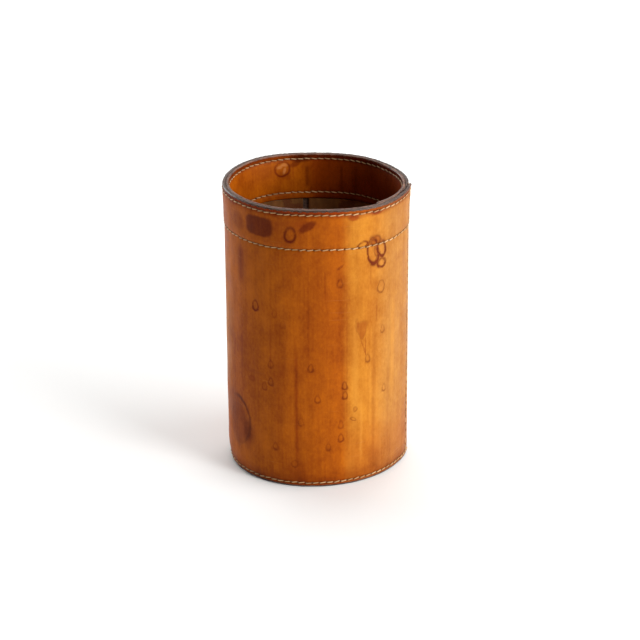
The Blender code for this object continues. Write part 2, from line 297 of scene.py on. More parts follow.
def row_dip(along, across):
    """How far stitching pulls the leather in. along runs from the nearest hole; across is from
    the row's centre line."""
    hole = bell(along, HOLE_WIDTH) * bell(across - HOLE_SLANT * along, HOLE_WIDTH)
    groove = ROW_DEPTH * bell(across, ROW_WIDTH) + ROW_PULL * bell(across, ROW_PULL_WIDTH)
    swing = np.cos(np.clip(along / PUFF_REACH, -1, 1) * math.pi)
    puff = PUCKER * swing * bell(np.abs(across) - PUFF_OFFSET, PUFF_WIDTH)
    return groove + HOLE_DEPTH * hole + puff


def seam_holes():
    """Levels of the awl holes up the side seam."""
    below = (BAND_ROW - HEM_ROW) / SEAM_STITCHES_TO_BAND
    above = (RIM_ROW - BAND_ROW) / SEAM_STITCHES_TO_RIM
    lower = HEM_ROW + below * np.arange(SEAM_STITCHES_TO_BAND)
    upper = BAND_ROW + above * np.arange(SEAM_STITCHES_TO_RIM + 1)
    return np.concatenate([lower, upper])


def seam_dip(travel, level):
    across = (travel - SEAM_TRAVEL) * ARC
    holes = seam_holes()
    nearest = holes[np.abs(np.asarray(level)[..., None] - holes).argmin(-1)]
    along = level - nearest
    shown = ease(level, HEM_ROW - 0.5, HEM_ROW + 0.5) * (1 - ease(level, RIM_ROW - 0.5, RIM_ROW + 0.5))
    return row_dip(along, across) * shown


# ---- sections of a strip -------------------------------------------------------------------


def lip(height, inset, steps):
    """A rounded corner from a face to an edge: how far below the edge, and how far in."""
    angles = np.radians(np.linspace(0.0, 90.0, steps))
    return height * (1.0 - np.sin(angles)), inset * (1.0 - np.cos(angles))


def section(face_levels, back_levels, foot, top, foot_lip, top_lip, thickness):
    """Stations round a strip's section: up its good face, over the top edge, down its back and
    across the foot. Each has a level, an inset from its face, a side (0 good, 1 back) and v."""
    rows = []
    down, inset = lip(EDGE_ROUND, EDGE_ROUND, 3)
    rows += [(foot + d, -i, 1) for d, i in zip(down[:-1], inset[:-1])]
    down, inset = lip(*foot_lip, 6)
    rows += [(foot + d, i, 0) for d, i in zip(down[::-1], inset[::-1])]
    rows += [(z, 0.0, 0) for z in face_levels]
    down, inset = lip(*top_lip, 7)
    rows += [(top - d, i, 0) for d, i in zip(down, inset)]
    down, inset = lip(EDGE_ROUND, EDGE_ROUND, 3)
    rows += [(top - d, -i, 1) for d, i in zip(down[::-1][1:], inset[::-1][1:])]
    rows += [(z, 0.0, 1) for z in sorted(back_levels, reverse=True)]
    level, inset, side = (np.array(column, float) for column in zip(*rows))
    depth = inset + side * thickness
    steps = np.hypot(np.diff(level), np.diff(depth))
    v = np.concatenate([[0.0], np.cumsum(steps)])
    first_face = int(np.argmax((side == 0) & (inset == 0)))
    v += level[first_face] - v[first_face]
    return level, inset, side, np.append(v, v[-1] + 1.0)


def strip_points(degrees, stations, good, back, outward, end_round):
    """Points of a strip. good and back give the radii of its faces; outward is 1 where the good
    face is the outer one. end_round thins the strip towards its first end."""
    level, inset, side, _ = stations
    angle = degrees[:, None] * np.ones_like(level)[None, :]
    height = np.ones_like(degrees)[:, None] * level[None, :]
    face = good(angle, height) - outward * np.where(side == 0, inset, 0.0)
    rear = back(angle, height) - outward * np.where(side == 1, inset, 0.0)
    face = face - outward * end_round(angle)[0]
    rear = rear + outward * end_round(angle)[1]
    return place(angle, np.where(side == 0, face, rear), height)


def end_curve(distance, depth):
    """How far a face draws back at this distance from a cut end, rounded to depth."""
    left = np.clip(depth - distance, 0.0, depth)
    return depth - np.sqrt(np.maximum(depth**2 - left**2, 0.0))


def columns_between(start, end):
    """Angles at the stitch row's spacing, closer round its holes, from start down to end."""
    pitch = 360.0 / MOUTH_STITCHES
    shares = np.array([0.0, 0.2, 0.355, 0.455, 0.545, 0.645, 0.8])
    count = range(-2, MOUTH_STITCHES + 14)
    every = np.concatenate([SEAM_DEG - (k + shares) * pitch for k in count])
    every = np.concatenate([every, every + 360.0])
    every = np.unique(np.round(every, 4))[::-1]
    return every[(every < max(start, end)) & (every > min(start, end))]


def merged(values, gap):
    """Sorted values, where any closer than gap to the one before is dropped."""
    kept = []
    for value in sorted(values):
        if not kept or value - kept[-1] > gap:
            kept.append(value)
    return np.array(kept)


# ---- the wall ------------------------------------------------------------------------------

BAND_SWELL = 0.35
BURR = 0.7


def under_flap(travel):
    return UNDER_ROOT + (UNDER_TIP - UNDER_ROOT) * ramp(travel, 0.0, LAP_OVERLAP)


def wall_skin(travel):
    body = CUP_RADIUS + LAP_RISE * (1.0 - ease(travel, SEAM_TRAVEL * 0.6, LAP_BLEND))
    body = body - (WALL_THICKNESS - UNDER_ROOT) * ease(travel, 360.0 - SHOULDER, 359.0)
    return np.where(travel >= 360.0, WALL_INNER + under_flap(travel - 360.0), body)


def flap_curl(travel, level):
    """The outer flap's top corner has curled out a little."""
    return BURR * bell(travel * ARC, 1.3) * ease(level, CUP_HEIGHT - 3.0, CUP_HEIGHT)


def wall_face(degrees, level):
    travel = LAP_DEG - degrees
    dips = seam_dip(travel, level)
    dips = dips + row_dip(from_hole(degrees, MOUTH_STITCHES), level - BAND_ROW)
    dips = dips + row_dip(from_hole(degrees, MOUTH_STITCHES), level - RIM_ROW)
    dips = dips + row_dip(from_hole(degrees, HEM_STITCHES), level - HEM_ROW)
    swell = BAND_SWELL * ease(level, BAND_ROW - 0.6, BAND_ROW + 1.6)
    swell = swell * (1.0 - 0.5 * ease(level, RIM_ROW - 5.0, CUP_HEIGHT))
    fine = hand_wave(degrees, level) + skin_wave(degrees, level)
    shown = travel < 360.0
    radius = wall_skin(travel) + np.where(shown, swell + fine - dips, 0.0)
    return radius + flap_curl(travel, level)


def wall_back(degrees, level):
    travel = LAP_DEG - degrees
    over = WALL_INNER + under_flap(travel) + LAP_GAP
    settled = over + (WALL_INNER - over) * ease(travel, LAP_OVERLAP, LAP_OVERLAP + 3.0)
    settled = np.where(travel >= 360.0, WALL_INNER, settled)
    return settled + flap_curl(travel, level)


def wall_end(degrees):
    distance = (LAP_DEG - degrees) * ARC
    return end_curve(distance, 0.55), end_curve(distance, 0.12)


def wall_levels():
    near_rows = [row + step for row in (HEM_ROW, BAND_ROW, RIM_ROW) for step in ROW_OFFSETS]
    near_holes = [z + step for z in seam_holes()[1:-1] for step in (-0.4, 0.0, 0.4)]
    near_rows = [z for z in near_rows if BURNISH_FOOT < z < BURNISH_TOP]
    low, high = LIP_HEIGHT + 0.05, CUP_HEIGHT - LIP_HEIGHT - 0.05
    return merged([low, BURNISH_FOOT, *near_rows, *near_holes, BURNISH_TOP, high], 0.14)


def wall_columns():
    seam = SEAM_DEG + np.array([-1.2, -0.8, -0.5, -0.25, 0, 0.25, 0.5, 0.8, 1.2]) / ARC
    edge = LAP_DEG - CUT_END_STEPS / ARC
    body = columns_between(LAP_DEG - 2.0, LAP_DEG - 356.0)
    body = body[np.abs(body - SEAM_DEG) * ARC > 1.5]
    step = LAP_DEG - np.array([356.6, 357.2, 357.8, 358.4, 359.0, 359.5, 359.97])
    under = LAP_DEG - 360.0 - np.linspace(0.0, LAP_OVERLAP, 8)
    return np.concatenate([merged(np.concatenate([seam, edge, body, step]), 0.01), under])


def build_wall(leather, burnished):
    degrees = np.sort(wall_columns())[::-1]
    back = [RIM_ROW, BAND_ROW, BAND_FOOT, 90.0, 60.0, 30.0, DISH_TOP]
    lips = (LIP_HEIGHT, LIP_INSET)
    stations = section(wall_levels(), back, 0.0, CUP_HEIGHT, lips, lips, WALL_THICKNESS)
    points = strip_points(degrees, stations, wall_face, wall_back, 1, wall_end)
    wall = grid_object("leather_wall", points, degrees * ARC, stations[3], loop_stations=True)
    finish_piece(wall, "outer_wall", "saddle_leather", leather, burnished)
    cut_end = (LAP_DEG - 0.12 / ARC) * ARC

    def burnt(centres):
        edge = (centres[:, 1] < BURNISH_FOOT) | (centres[:, 1] > BURNISH_TOP)
        return edge | (centres[:, 0] > cut_end)

    use_second_material(wall, burnt)


# ---- the mouth band ------------------------------------------------------------------------


def band_under(travel):
    return BAND_THICKNESS + (BAND_UNDER_TIP - BAND_THICKNESS) * ramp(travel, 0.0, BAND_OVERLAP)


def band_skin(travel):
    inner = BAND_OUTER - BAND_THICKNESS
    flap = BAND_OUTER - band_under(np.minimum(travel, BAND_OVERLAP)) - LAP_GAP - BAND_THICKNESS
    shown = flap + (inner - flap) * ease(travel, BAND_OVERLAP, BAND_BLEND)
    return np.where(travel >= 360.0, BAND_OUTER - band_under(travel - 360.0), shown)


def band_face(degrees, level):
    travel = degrees - BAND_LAP_DEG
    dips = row_dip(from_hole(degrees, MOUTH_STITCHES), level - BAND_ROW)
    dips = dips + row_dip(from_hole(degrees, MOUTH_STITCHES), level - RIM_ROW)
    fine = hand_wave(degrees + 40.0, level) + skin_wave(degrees + 40.0, level)
    return band_skin(travel) + np.where(travel < 360.0, dips + fine, 0.0)


def band_back(degrees, level):
    travel = degrees - BAND_LAP_DEG
    over = BAND_OUTER - band_under(travel) - LAP_GAP
    settled = over + (BAND_OUTER - over) * ease(travel, BAND_OVERLAP, BAND_OVERLAP + 3.0)
    settled = np.where(travel >= 360.0, BAND_OUTER, settled)
    return settled + (WALL_INNER - BAND_OUTER - 0.06) * ease(level, CUP_HEIGHT - 3.0, CUP_HEIGHT)


def band_end(degrees):
    distance = (degrees - BAND_LAP_DEG) * ARC
    return end_curve(distance, 0.5), end_curve(distance, 0.12)


def build_band(leather, burnished):
    edge = BAND_LAP_DEG + CUT_END_STEPS / ARC
    body = columns_between(BAND_LAP_DEG + 2.4, BAND_LAP_DEG + 359.6)
    under = BAND_LAP_DEG + 359.95 + np.linspace(0.0, BAND_OVERLAP, 10)
    degrees = merged(np.concatenate([edge, body, under]), 0.01)
    rows = [row + step for row in (BAND_ROW, RIM_ROW) for step in ROW_OFFSETS]
    rows = [z for z in rows if z < BURNISH_TOP]
    face = merged([BAND_FOOT + 0.75, *rows, *np.arange(123.5, 135.5, 1.4), BURNISH_TOP], 0.14)
    back = [CUP_HEIGHT - 1.0, CUP_HEIGHT - 3.0, BAND_ROW]
    foot_lip, top_lip = (0.7, 0.5), (LIP_HEIGHT, LIP_INSET * 0.8)
    stations = section(face, back, BAND_FOOT, CUP_HEIGHT, foot_lip, top_lip, BAND_THICKNESS)
    points = strip_points(degrees, stations, band_face, band_back, -1, band_end)
    band = grid_object("leather_mouth_band", points, degrees * ARC, stations[3], loop_stations=True)
    finish_piece(band, "mouth_band", "band_leather", leather, burnished)
    cut_end = BAND_LAP_DEG * ARC + 0.3

    def burnt(centres):
        return (centres[:, 1] > BAND_BURNISH_TOP) | (centres[:, 0] < cut_end)

    use_second_material(band, burnt)


# ---- lining, base, board and floor ---------------------------------------------------------


def build_lining(suede):
    half = math.degrees(LINING_SLIT / 2 / LINING_OUTER)
    degrees = np.linspace(LINING_SLIT_DEG + half, LINING_SLIT_DEG + 360.0 - half, 361)
    inner = LINING_OUTER - LINING_THICKNESS
    ripple = waves(11, 18, (3, 22), (-14.0, 14.0), 0.05)

    def good(angle, level):
        return inner + ripple(angle, level) - 0.05

    def back(angle, level):
        return np.full_like(angle, LINING_OUTER)

    def ends(angle):
        distance = np.minimum(angle - degrees[0], degrees[-1] - angle) * ARC
        return end_curve(distance, 0.3), end_curve(distance, 0.1)

    face = np.linspace(LINING_FOOT + 1.0, LINING_TOP - 1.0, 42)
    stations = section(
        face, [LINING_TOP - 2.0, 60.0], LINING_FOOT, LINING_TOP, (0.3, 0.25), (0.3, 0.25), LINING_THICKNESS
    )
    points = strip_points(degrees, stations, good, back, -1, ends)
    piece = grid_object("suede_lining", points, degrees * ARC, stations[3], loop_stations=True)
    finish_piece(piece, "wall_lining", "lining_suede", suede)


def turned_object(name, profile, columns, bumps):
    """A round piece: its outline of (radius, level) from the axis round its outer side and back
    to the axis, pushed about by bumps(degrees, radius, level), which moves the level."""
    degrees = np.arange(columns) * 360.0 / columns
    radius, level = (np.array(column, float) for column in zip(*profile))
    angle = degrees[:, None] * np.ones_like(radius)[None, :]
    reach = np.ones_like(degrees)[:, None] * radius[None, :]
    height = np.ones_like(degrees)[:, None] * level[None, :]
    points = place(angle, reach, height + bumps(angle, reach, height))
    v = np.concatenate([[0.0], np.cumsum(np.hypot(np.diff(radius), np.diff(level)))])
    u = np.append(degrees, 360.0) * ARC
    return grid_object(name, points, u, v, loop_columns=True, cap="centres")


def arc_points(centre, radius, start, end, steps):
    """Points of an arc in a section, from start to end degrees."""
    angles = np.radians(np.linspace(start, end, steps))
    return [(centre[0] + radius * math.cos(a), centre[1] + radius * math.sin(a)) for a in angles]


def disc_rings(edge, level, inward):
    """Points from the axis out to edge, or back in, at one level."""
    rings = [(r, level) for r in np.linspace(0.8, edge, 22)]
    return rings[::-1] if inward else rings


def flange_face(degrees, level):
    """Radius of the flange's inner face, with the hem's stitch row."""
    return DISH_OUTER - DISH_THICKNESS + row_dip(from_hole(degrees, HEM_STITCHES), level - HEM_ROW)


def build_dish(leather, burnished):
    shoulder = 1.2
    inner = DISH_OUTER - DISH_THICKNESS
    flange = merged([1.0, *(HEM_ROW + step for step in ROW_OFFSETS if step > -1.0), 3.7], 0.05)
    profile = disc_rings(DISH_OUTER - shoulder - 0.3, DISH_TOP, False)
    profile += arc_points((DISH_OUTER - shoulder, DISH_TOP - shoulder), shoulder, 90, 0, 6)
    profile += [(DISH_OUTER, 2.5), (DISH_OUTER, 1.0)]
    profile += arc_points((DISH_OUTER - 0.4, 0.4), 0.4, 0, -90, 5)
    profile += arc_points((inner + 0.5, 0.5), 0.5, -90, -180, 6)
    profile += [(inner, z) for z in flange]
    profile += arc_points((inner - 1.0, RECESS_TOP - 1.0), 1.0, 0, 90, 6)
    profile += disc_rings(inner - 1.4, RECESS_TOP, True)
    draw = waves(13, 14, (1, 9), (0.0, 0.0), 0.10)

    def bumps(degrees, radius, level):
        middle = 1.0 - ramp(radius, inner - 8.0, inner - 1.0)
        return draw(degrees, 0.0) * middle * ramp(radius, 0.0, 20.0) * (level > RECESS_TOP - 0.3)

    # The flange's stitch row is sunk after the outline is turned
    columns = HEM_STITCHES * 7
    piece = turned_object("leather_base_dish", profile, columns, bumps)
    points = np.array([v.co for v in piece.data.vertices], float)
    degrees = np.degrees(np.arctan2(points[:, 1], points[:, 0]))
    level = points[:, 2] / MM
    reach = np.hypot(points[:, 0], points[:, 1]) / MM
    on_flange = (np.abs(reach - inner) < 1.6) & (level > 0.7) & (level < 3.9) & (reach < DISH_OUTER - 0.9)
    dip = row_dip(from_hole(degrees, HEM_STITCHES), level - HEM_ROW) * on_flange
    points[:, :2] *= (1.0 + dip / reach)[:, None]
    piece.data.vertices.foreach_set("co", points.ravel())
    finish_piece(piece, "base_dish", "sole_leather", leather, burnished)
    bottom = [index for index, polygon in enumerate(piece.data.polygons) if polygon.center.z < 0.55 * MM]
    for index in bottom:
        piece.data.polygons[index].material_index = 1


def disc_profile(radius, foot, top, edge):
    profile = disc_rings(radius - edge - 0.3, top, False)
    profile += arc_points((radius - edge, top - edge), edge, 90, 0, 5)
    profile += arc_points((radius - edge, foot + edge), edge, 0, -90, 5)
    return profile + disc_rings(radius - edge - 0.3, foot, True)


def build_board(fibre):
    profile = disc_profile(BOARD_RADIUS, BOARD_FOOT, BOARD_TOP, 0.25)
    draw = waves(17, 10, (1, 7), (0.0, 0.0), 0.02)
    piece = turned_object(
        "leatherboard_disc", profile, 240, lambda a, r, z: draw(a, 0.0) * ramp(r, 0.0, 20.0)
    )
    finish_piece(piece, "base_board", "leatherboard", fibre)


def build_floor(felt):
    profile = disc_profile(PAD_RADIUS, PAD_FOOT, PAD_TOP, 0.35)
    draw = waves(19, 40, (1, 40), (0.0, 0.0), 0.05)
    radial = waves(23, 12, (0, 9), (-60.0, 60.0), 0.05)

    def bumps(degrees, radius, level):
        on_top = level > (PAD_FOOT + PAD_TOP) / 2
        nap = draw(degrees, 0.0) * ramp(radius, 0.0, 30.0) + radial(degrees, radius)
        return np.where(on_top, nap, 0.0)

    piece = turned_object("felt_floor", profile, 300, bumps)
    finish_piece(piece, "felt_disc", "floor_felt", felt)


# ---- threads -------------------------------------------------------------------------------

SAMPLES = 16
SIDES = 12
SLANT = 0.15
TAUT_REACH = 3
TWISTS = 1.6


def thread_object(name, path, outward, u, is_ring):
    """A laid thread along path: a tube with three strands that wind round it."""
    if is_ring:
        along = np.roll(path, -1, axis=0) - np.roll(path, 1, axis=0)
    else:
        along = np.gradient(path, axis=0)
    along /= np.linalg.norm(along, axis=1)[:, None]
    across = np.cross(along, outward)
    across /= np.linalg.norm(across, axis=1)[:, None]
    lift = np.cross(across, along)
    around = np.arange(SIDES) * math.tau / SIDES
    turn = around[None, :] - (u[: len(path)] * TWISTS * math.tau)[:, None]
    strand = 1.0 + 0.11 * np.cos(3.0 * turn)
    fray = 1.0 + 0.05 * np.sin(u[: len(path)] * 37.7)[:, None]
    radius = THREAD_RADIUS * MM * strand * fray
    points = path[:, None, :] + radius[..., None] * (
        np.cos(around)[None, :, None] * across[:, None, :]
        + np.sin(around)[None, :, None] * lift[:, None, :]
    )
    v = np.append(around, math.tau) / math.tau
    return grid_object(name, points, u, v, loop_columns=is_ring, loop_stations=True)


def stitch_shape(share, lift, sink):
    """A stitch from hole to hole: how far its thread stands off the leather, and how far it has
    run from the lower end of its slant to the upper."""
    rise = ease(share, 0.0, 0.16) * (1.0 - ease(share, 0.84, 1.0))
    crown = 0.06 * np.sin(share * math.pi)
    slant = ease(share, 0.08, 0.92) * 2.0 - 1.0
    return -sink + (lift + sink) * rise + crown * rise, slant


def on_wall(degrees):
    """The same angles, as the wall counts them: down from its lap."""
    return LAP_DEG - (LAP_DEG - degrees) % 360.0


def on_band(degrees):
    """The same angles, as the mouth band counts them: up from its lap."""
    return BAND_LAP_DEG + (degrees - BAND_LAP_DEG) % 360.0


def on_flange(degrees):
    """The same angles: the flange has no lap."""
    return degrees


def taut(radius, outward):
    """The line a pulled thread takes over steps in the surface under it."""
    beside = np.stack([np.roll(radius, k) for k in range(-TAUT_REACH, TAUT_REACH + 1)])
    bridged = outward * (outward * beside).max(axis=0)
    return np.mean([np.roll(bridged, k) for k in range(-TAUT_REACH, TAUT_REACH + 1)], axis=0)


def row_thread(name, count, row, face, counted, outward):
    """A thread round the cup, at the face that it lies on. counted gives that face's angles."""
    stitch = np.arange(count * SAMPLES) / SAMPLES
    degrees = SEAM_DEG + (stitch - 0.5) * 360.0 / count
    draw = np.random.default_rng(count + int(row))
    each = np.floor(stitch).astype(int)
    lean = SLANT * (1.0 + 0.35 * draw.standard_normal(count))[each]
    drift = 0.07 * draw.standard_normal(count)[each]
    sunk = 0.06 * draw.random(count)[each]
    height, slant = stitch_shape(stitch % 1.0, THREAD_LIFT, 0.5)
    shift = ease(stitch % 1.0, 0.0, 0.1) * (1.0 - ease(stitch % 1.0, 0.9, 1.0))
    level = row + lean * slant + drift * shift
    middle = face(counted(degrees), np.full_like(degrees, row))
    hole = row_dip(from_hole(degrees, count), 0.0) - ROW_DEPTH - ROW_PULL - PUCKER
    base = taut(middle + outward * np.maximum(hole, 0.0), outward)
    radius = base + outward * (height - sunk * shift)
    path = place(degrees, radius, level)
    away = place(degrees, radius + outward, level) - path
    u = np.append(stitch, count)
    return thread_object(name, path, away, u, True)


def seam_path(sink, lift, face_radius, outward):
    """The stitches between the hem's row and the rim's, up the side seam."""
    holes = seam_holes()
    count = len(holes) - 1
    stitch = np.arange(count * SAMPLES + 1) / SAMPLES
    level = np.interp(stitch, np.arange(len(holes)), holes)
    height, slant = stitch_shape(stitch % 1.0, lift, sink)
    angle = SEAM_DEG - outward * SLANT * slant / ARC
    path = place(angle, face_radius(level) + outward * height, level)
    return path, place(angle, face_radius(level) + outward * (height + 1.0), level) - path, stitch


def build_threads(needle, bobbin):
    rows = {"rim": (MOUTH_STITCHES, RIM_ROW), "band": (MOUTH_STITCHES, BAND_ROW)}
    for row, (count, level) in rows.items():
        outside = row_thread(row + "_stitches_outside", count, level, wall_face, on_wall, 1)
        finish_piece(outside, row + "_needle_thread", "needle_thread", needle)
        inside = row_thread(row + "_stitches_inside", count, level, band_face, on_band, -1)
        finish_piece(inside, row + "_bobbin_thread", "bobbin_thread", bobbin)
    outside = row_thread("hem_stitches_outside", HEM_STITCHES, HEM_ROW, wall_face, on_wall, 1)
    finish_piece(outside, "hem_needle_thread", "needle_thread", needle)
    inside = row_thread("hem_stitches_inside", HEM_STITCHES, HEM_ROW, flange_face, on_flange, -1)
    finish_piece(inside, "hem_bobbin_thread", "bobbin_thread", bobbin)

    def skin(level):
        settled = wall_skin(np.full_like(level, SEAM_TRAVEL)) - ROW_DEPTH - ROW_PULL
        return settled + BAND_SWELL * ease(level, BAND_ROW - 0.6, BAND_ROW + 1.6)

    def under(level):
        return np.full_like(level, WALL_INNER + 0.05)

    for name, node, sink, lift, face, outward, material in (
        ("seam_stitches_outside", "seam_needle_thread", 0.5, 0.18, skin, 1, needle),
        ("seam_stitches_inside", "seam_bobbin_thread", 0.6, 0.0, under, -1, bobbin),
    ):
        path, away, u = seam_path(sink, lift, face, outward)
        piece = thread_object(name, path, away, u, False)
        finish_piece(piece, node, "needle_thread" if outward > 0 else "bobbin_thread", material)


# ---- shader arithmetic ---------------------------------------------------------------------


class Wire:
    """A value in a material's nodes that can be used in arithmetic."""

    def __init__(self, graph, socket):
        self.graph = graph
        self.socket = socket

    def __add__(self, other):
        return self.graph.math("ADD", self, other)

    def __sub__(self, other):
        return self.graph.math("SUBTRACT", self, other)

    def __rsub__(self, other):
        return self.graph.math("SUBTRACT", other, self)

    def __mul__(self, other):
        return self.graph.math("MULTIPLY", self, other)

    def __truediv__(self, other):
        return self.graph.math("DIVIDE", self, other)

    __radd__ = __add__
    __rmul__ = __mul__


class Graph:
    """A material's nodes. u and v are millimetres along a piece and across it."""

    def __init__(self, name, roughness, specular, ior=1.45):
        self.material = bpy.data.materials.new(name)
        self.material.use_nodes = True
        self.tree = self.material.node_tree
        self.shader = self.tree.nodes["Principled BSDF"]
        self.shader.inputs["Roughness"].default_value = roughness
        self.shader.inputs["Specular IOR Level"].default_value = specular
        self.shader.inputs["IOR"].default_value = ior
        wrap = self.add("ShaderNodeUVMap", {}, uv_map="wrap")
        split = self.add("ShaderNodeSeparateXYZ", {0: Wire(self, wrap.outputs[0])})
        self.u = Wire(self, split.outputs[0])
        self.v = Wire(self, split.outputs[1])

    def add(self, kind, inputs, **settings):
        node = self.tree.nodes.new(kind)
        for key, value in settings.items():
            setattr(node, key, value)
        for key, value in inputs.items():
            if isinstance(value, Wire):
                self.tree.links.new(value.socket, node.inputs[key])
            elif value is not None:
                node.inputs[key].default_value = value
        return node

    def math(self, operation, *values):
        node = self.add("ShaderNodeMath", dict(enumerate(values)), operation=operation)
        return Wire(self, node.outputs[0])

    def vector(self, x, y, z=0.0):
        node = self.add("ShaderNodeCombineXYZ", {0: x, 1: y, 2: z})
        return Wire(self, node.outputs[0])

    def place(self, width, height, seed=0.0):
        """Wrap coordinates where one unit is width along the piece and height across it."""
        return self.vector(self.u / width, self.v / height, seed)

    def solid(self, size):
        """Coordinates in space where one unit is size millimetres."""
        source = self.add("ShaderNodeTexCoord", {})
        scaled = self.add(
            "ShaderNodeVectorMath", {0: Wire(self, source.outputs["Object"])}, operation="SCALE"
        )
        scaled.inputs["Scale"].default_value = 1.0 / (size * MM)
        return Wire(self, scaled.outputs[0])

    def noise(self, where, detail=2.0, roughness=0.5, distortion=0.0):
        node = self.add(
            "ShaderNodeTexNoise",
            {"Vector": where, "Scale": 1.0, "Detail": detail, "Roughness": roughness},
        )
        node.inputs["Distortion"].default_value = distortion
        return Wire(self, node.outputs[0])

    def cells(self, where):
        """Distance from the nearest of a field of scattered points, and that point's own draws."""
        node = self.add("ShaderNodeTexVoronoi", {"Vector": where, "Scale": 1.0})
        split = self.add("ShaderNodeSeparateXYZ", {0: Wire(self, node.outputs["Color"])})
        return Wire(self, node.outputs["Distance"]), [Wire(self, o) for o in split.outputs]

    def step(self, value, start, end):
        """Eases from 0 at start to 1 at end."""
        node = self.add(
            "ShaderNodeMapRange",
            {"Value": value, "From Min": start, "From Max": end},
            interpolation_type="SMOOTHSTEP",
        )
        return Wire(self, node.outputs[0])

    def most(self, *values):
        total = values[0]
        for value in values[1:]:
            total = self.math("MAXIMUM", total, value)
        return total

    def near(self, value, centre, width):
        """1 where value is at centre, easing to 0 at width from it."""
        return self.step(self.math("ABSOLUTE", value - centre), width, 0.0)

    def blend(self, share, first, second):
        """From the first colour to the second."""
        node = self.add("ShaderNodeMix", {"Factor": share}, data_type="RGBA")
        for key, colour in (("A", first), ("B", second)):
            socket = [s for s in node.inputs if s.name == key and s.type == "RGBA"][0]
            if isinstance(colour, Wire):
                self.tree.links.new(colour.socket, socket)
            else:
                socket.default_value = (*colour, 1.0)
        return Wire(self, [s for s in node.outputs if s.type == "RGBA"][0])

    def stain(self, share, colour, by):
        """Colour multiplied by a stain's colour, where share is 1."""
        node = self.add("ShaderNodeMix", {"Factor": share}, data_type="RGBA", blend_type="MULTIPLY")
        sockets = [s for s in node.inputs if s.type == "RGBA"]
        self.tree.links.new(colour.socket, sockets[0])
        sockets[1].default_value = (*by, 1.0)
        return Wire(self, [s for s in node.outputs if s.type == "RGBA"][0])

    def finish(self, colour, height=None, roughness=None):
        """Links the shader. height is in millimetres."""
        self.tree.links.new(colour.socket, self.shader.inputs["Base Color"])
        if roughness is not None:
            self.tree.links.new(roughness.socket, self.shader.inputs["Roughness"])
        if height is not None:
            bump = self.add("ShaderNodeBump", {"Height": height, "Distance": MM, "Strength": 1.0})
            self.tree.links.new(bump.outputs[0], self.shader.inputs["Normal"])
        return self.material


# ---- marks on the leather ------------------------------------------------------------------
# A placed mark's centre is degrees round the cup and millimetres up it, and its size is half its width
# and half its height in millimetres. lean turns it counter-clockwise. taper narrows its top.


def mark_reach(graph, where, mark, boxy=False):
    """Distance from a mark's centre: 1 on its outline, which is an oval or a rounded box."""
    degrees, level, half_width, half_height, lean, taper = mark[:6]
    node = graph.add(
        "ShaderNodeMapping",
        {
            "Vector": where,
            "Location": (degrees * ARC, level, 0.0),
            "Rotation": (0.0, 0.0, math.radians(lean)),
            "Scale": (half_width, half_height, 1.0),
        },
        vector_type="TEXTURE",
    )
    split = graph.add("ShaderNodeSeparateXYZ", {0: Wire(graph, node.outputs[0])})
    x, y = Wire(graph, split.outputs[0]), Wire(graph, split.outputs[1])
    if taper:
        x = x * (y * taper + 1.0)
    power = 4.0 if boxy else 2.0
    total = graph.math("POWER", graph.math("ABSOLUTE", x), power)
    total = total + graph.math("POWER", graph.math("ABSOLUTE", y), power)
    return graph.math("POWER", total, 1.0 / power), y


def drops(graph, where, marks):
    """Dried drops: how dark their outlines and their insides are."""
    lines, fills = None, None
    for mark in marks:
        line_width, line, fill = mark[6:]
        reach, y = mark_reach(graph, where, mark)
        width = 1.35 * line_width / math.sqrt(mark[2] * mark[3])
        outline = graph.near(reach, 1.0, width) * ((y * -0.2 + 0.85) * line)
        inside = graph.step(reach, 1.05, 0.8) * fill
        lines = outline if lines is None else graph.most(lines, outline)
        fills = inside if fills is None else fills + inside
    return lines, fills


def streaks(graph, where_u, where_v, lines):
    """Dark runs down the leather: (degrees, low, high, half width, strength)."""
    total = None
    for degrees, low, high, half_width, strength in lines:
        across = graph.near(where_u, degrees * ARC, half_width)
        fade = (high - low) * 0.25
        along = graph.step(where_v, low, low + fade) * graph.step(where_v, high, high - fade)
        run = across * along * strength
        total = run if total is None else graph.most(total, run)
    return total


# Places on the front are millimetres right of its middle and millimetres above the table,
# judged to the nearest millimetre against the stitch rows and the sides of the cup.


def front(across):
    """Degrees round the cup of a place on the front."""
    return math.degrees(math.asin(across / CUP_RADIUS)) - 90.0


def at_front(marks):
    """Marks whose first value is a place on the front, with its degrees instead."""
    return [(front(mark[0]),) + mark[1:] for mark in marks]


def back(across):
    """Degrees round the cup of a place on the inside of its back."""
    return 90.0 - math.degrees(math.asin(across / BAND_FACE))


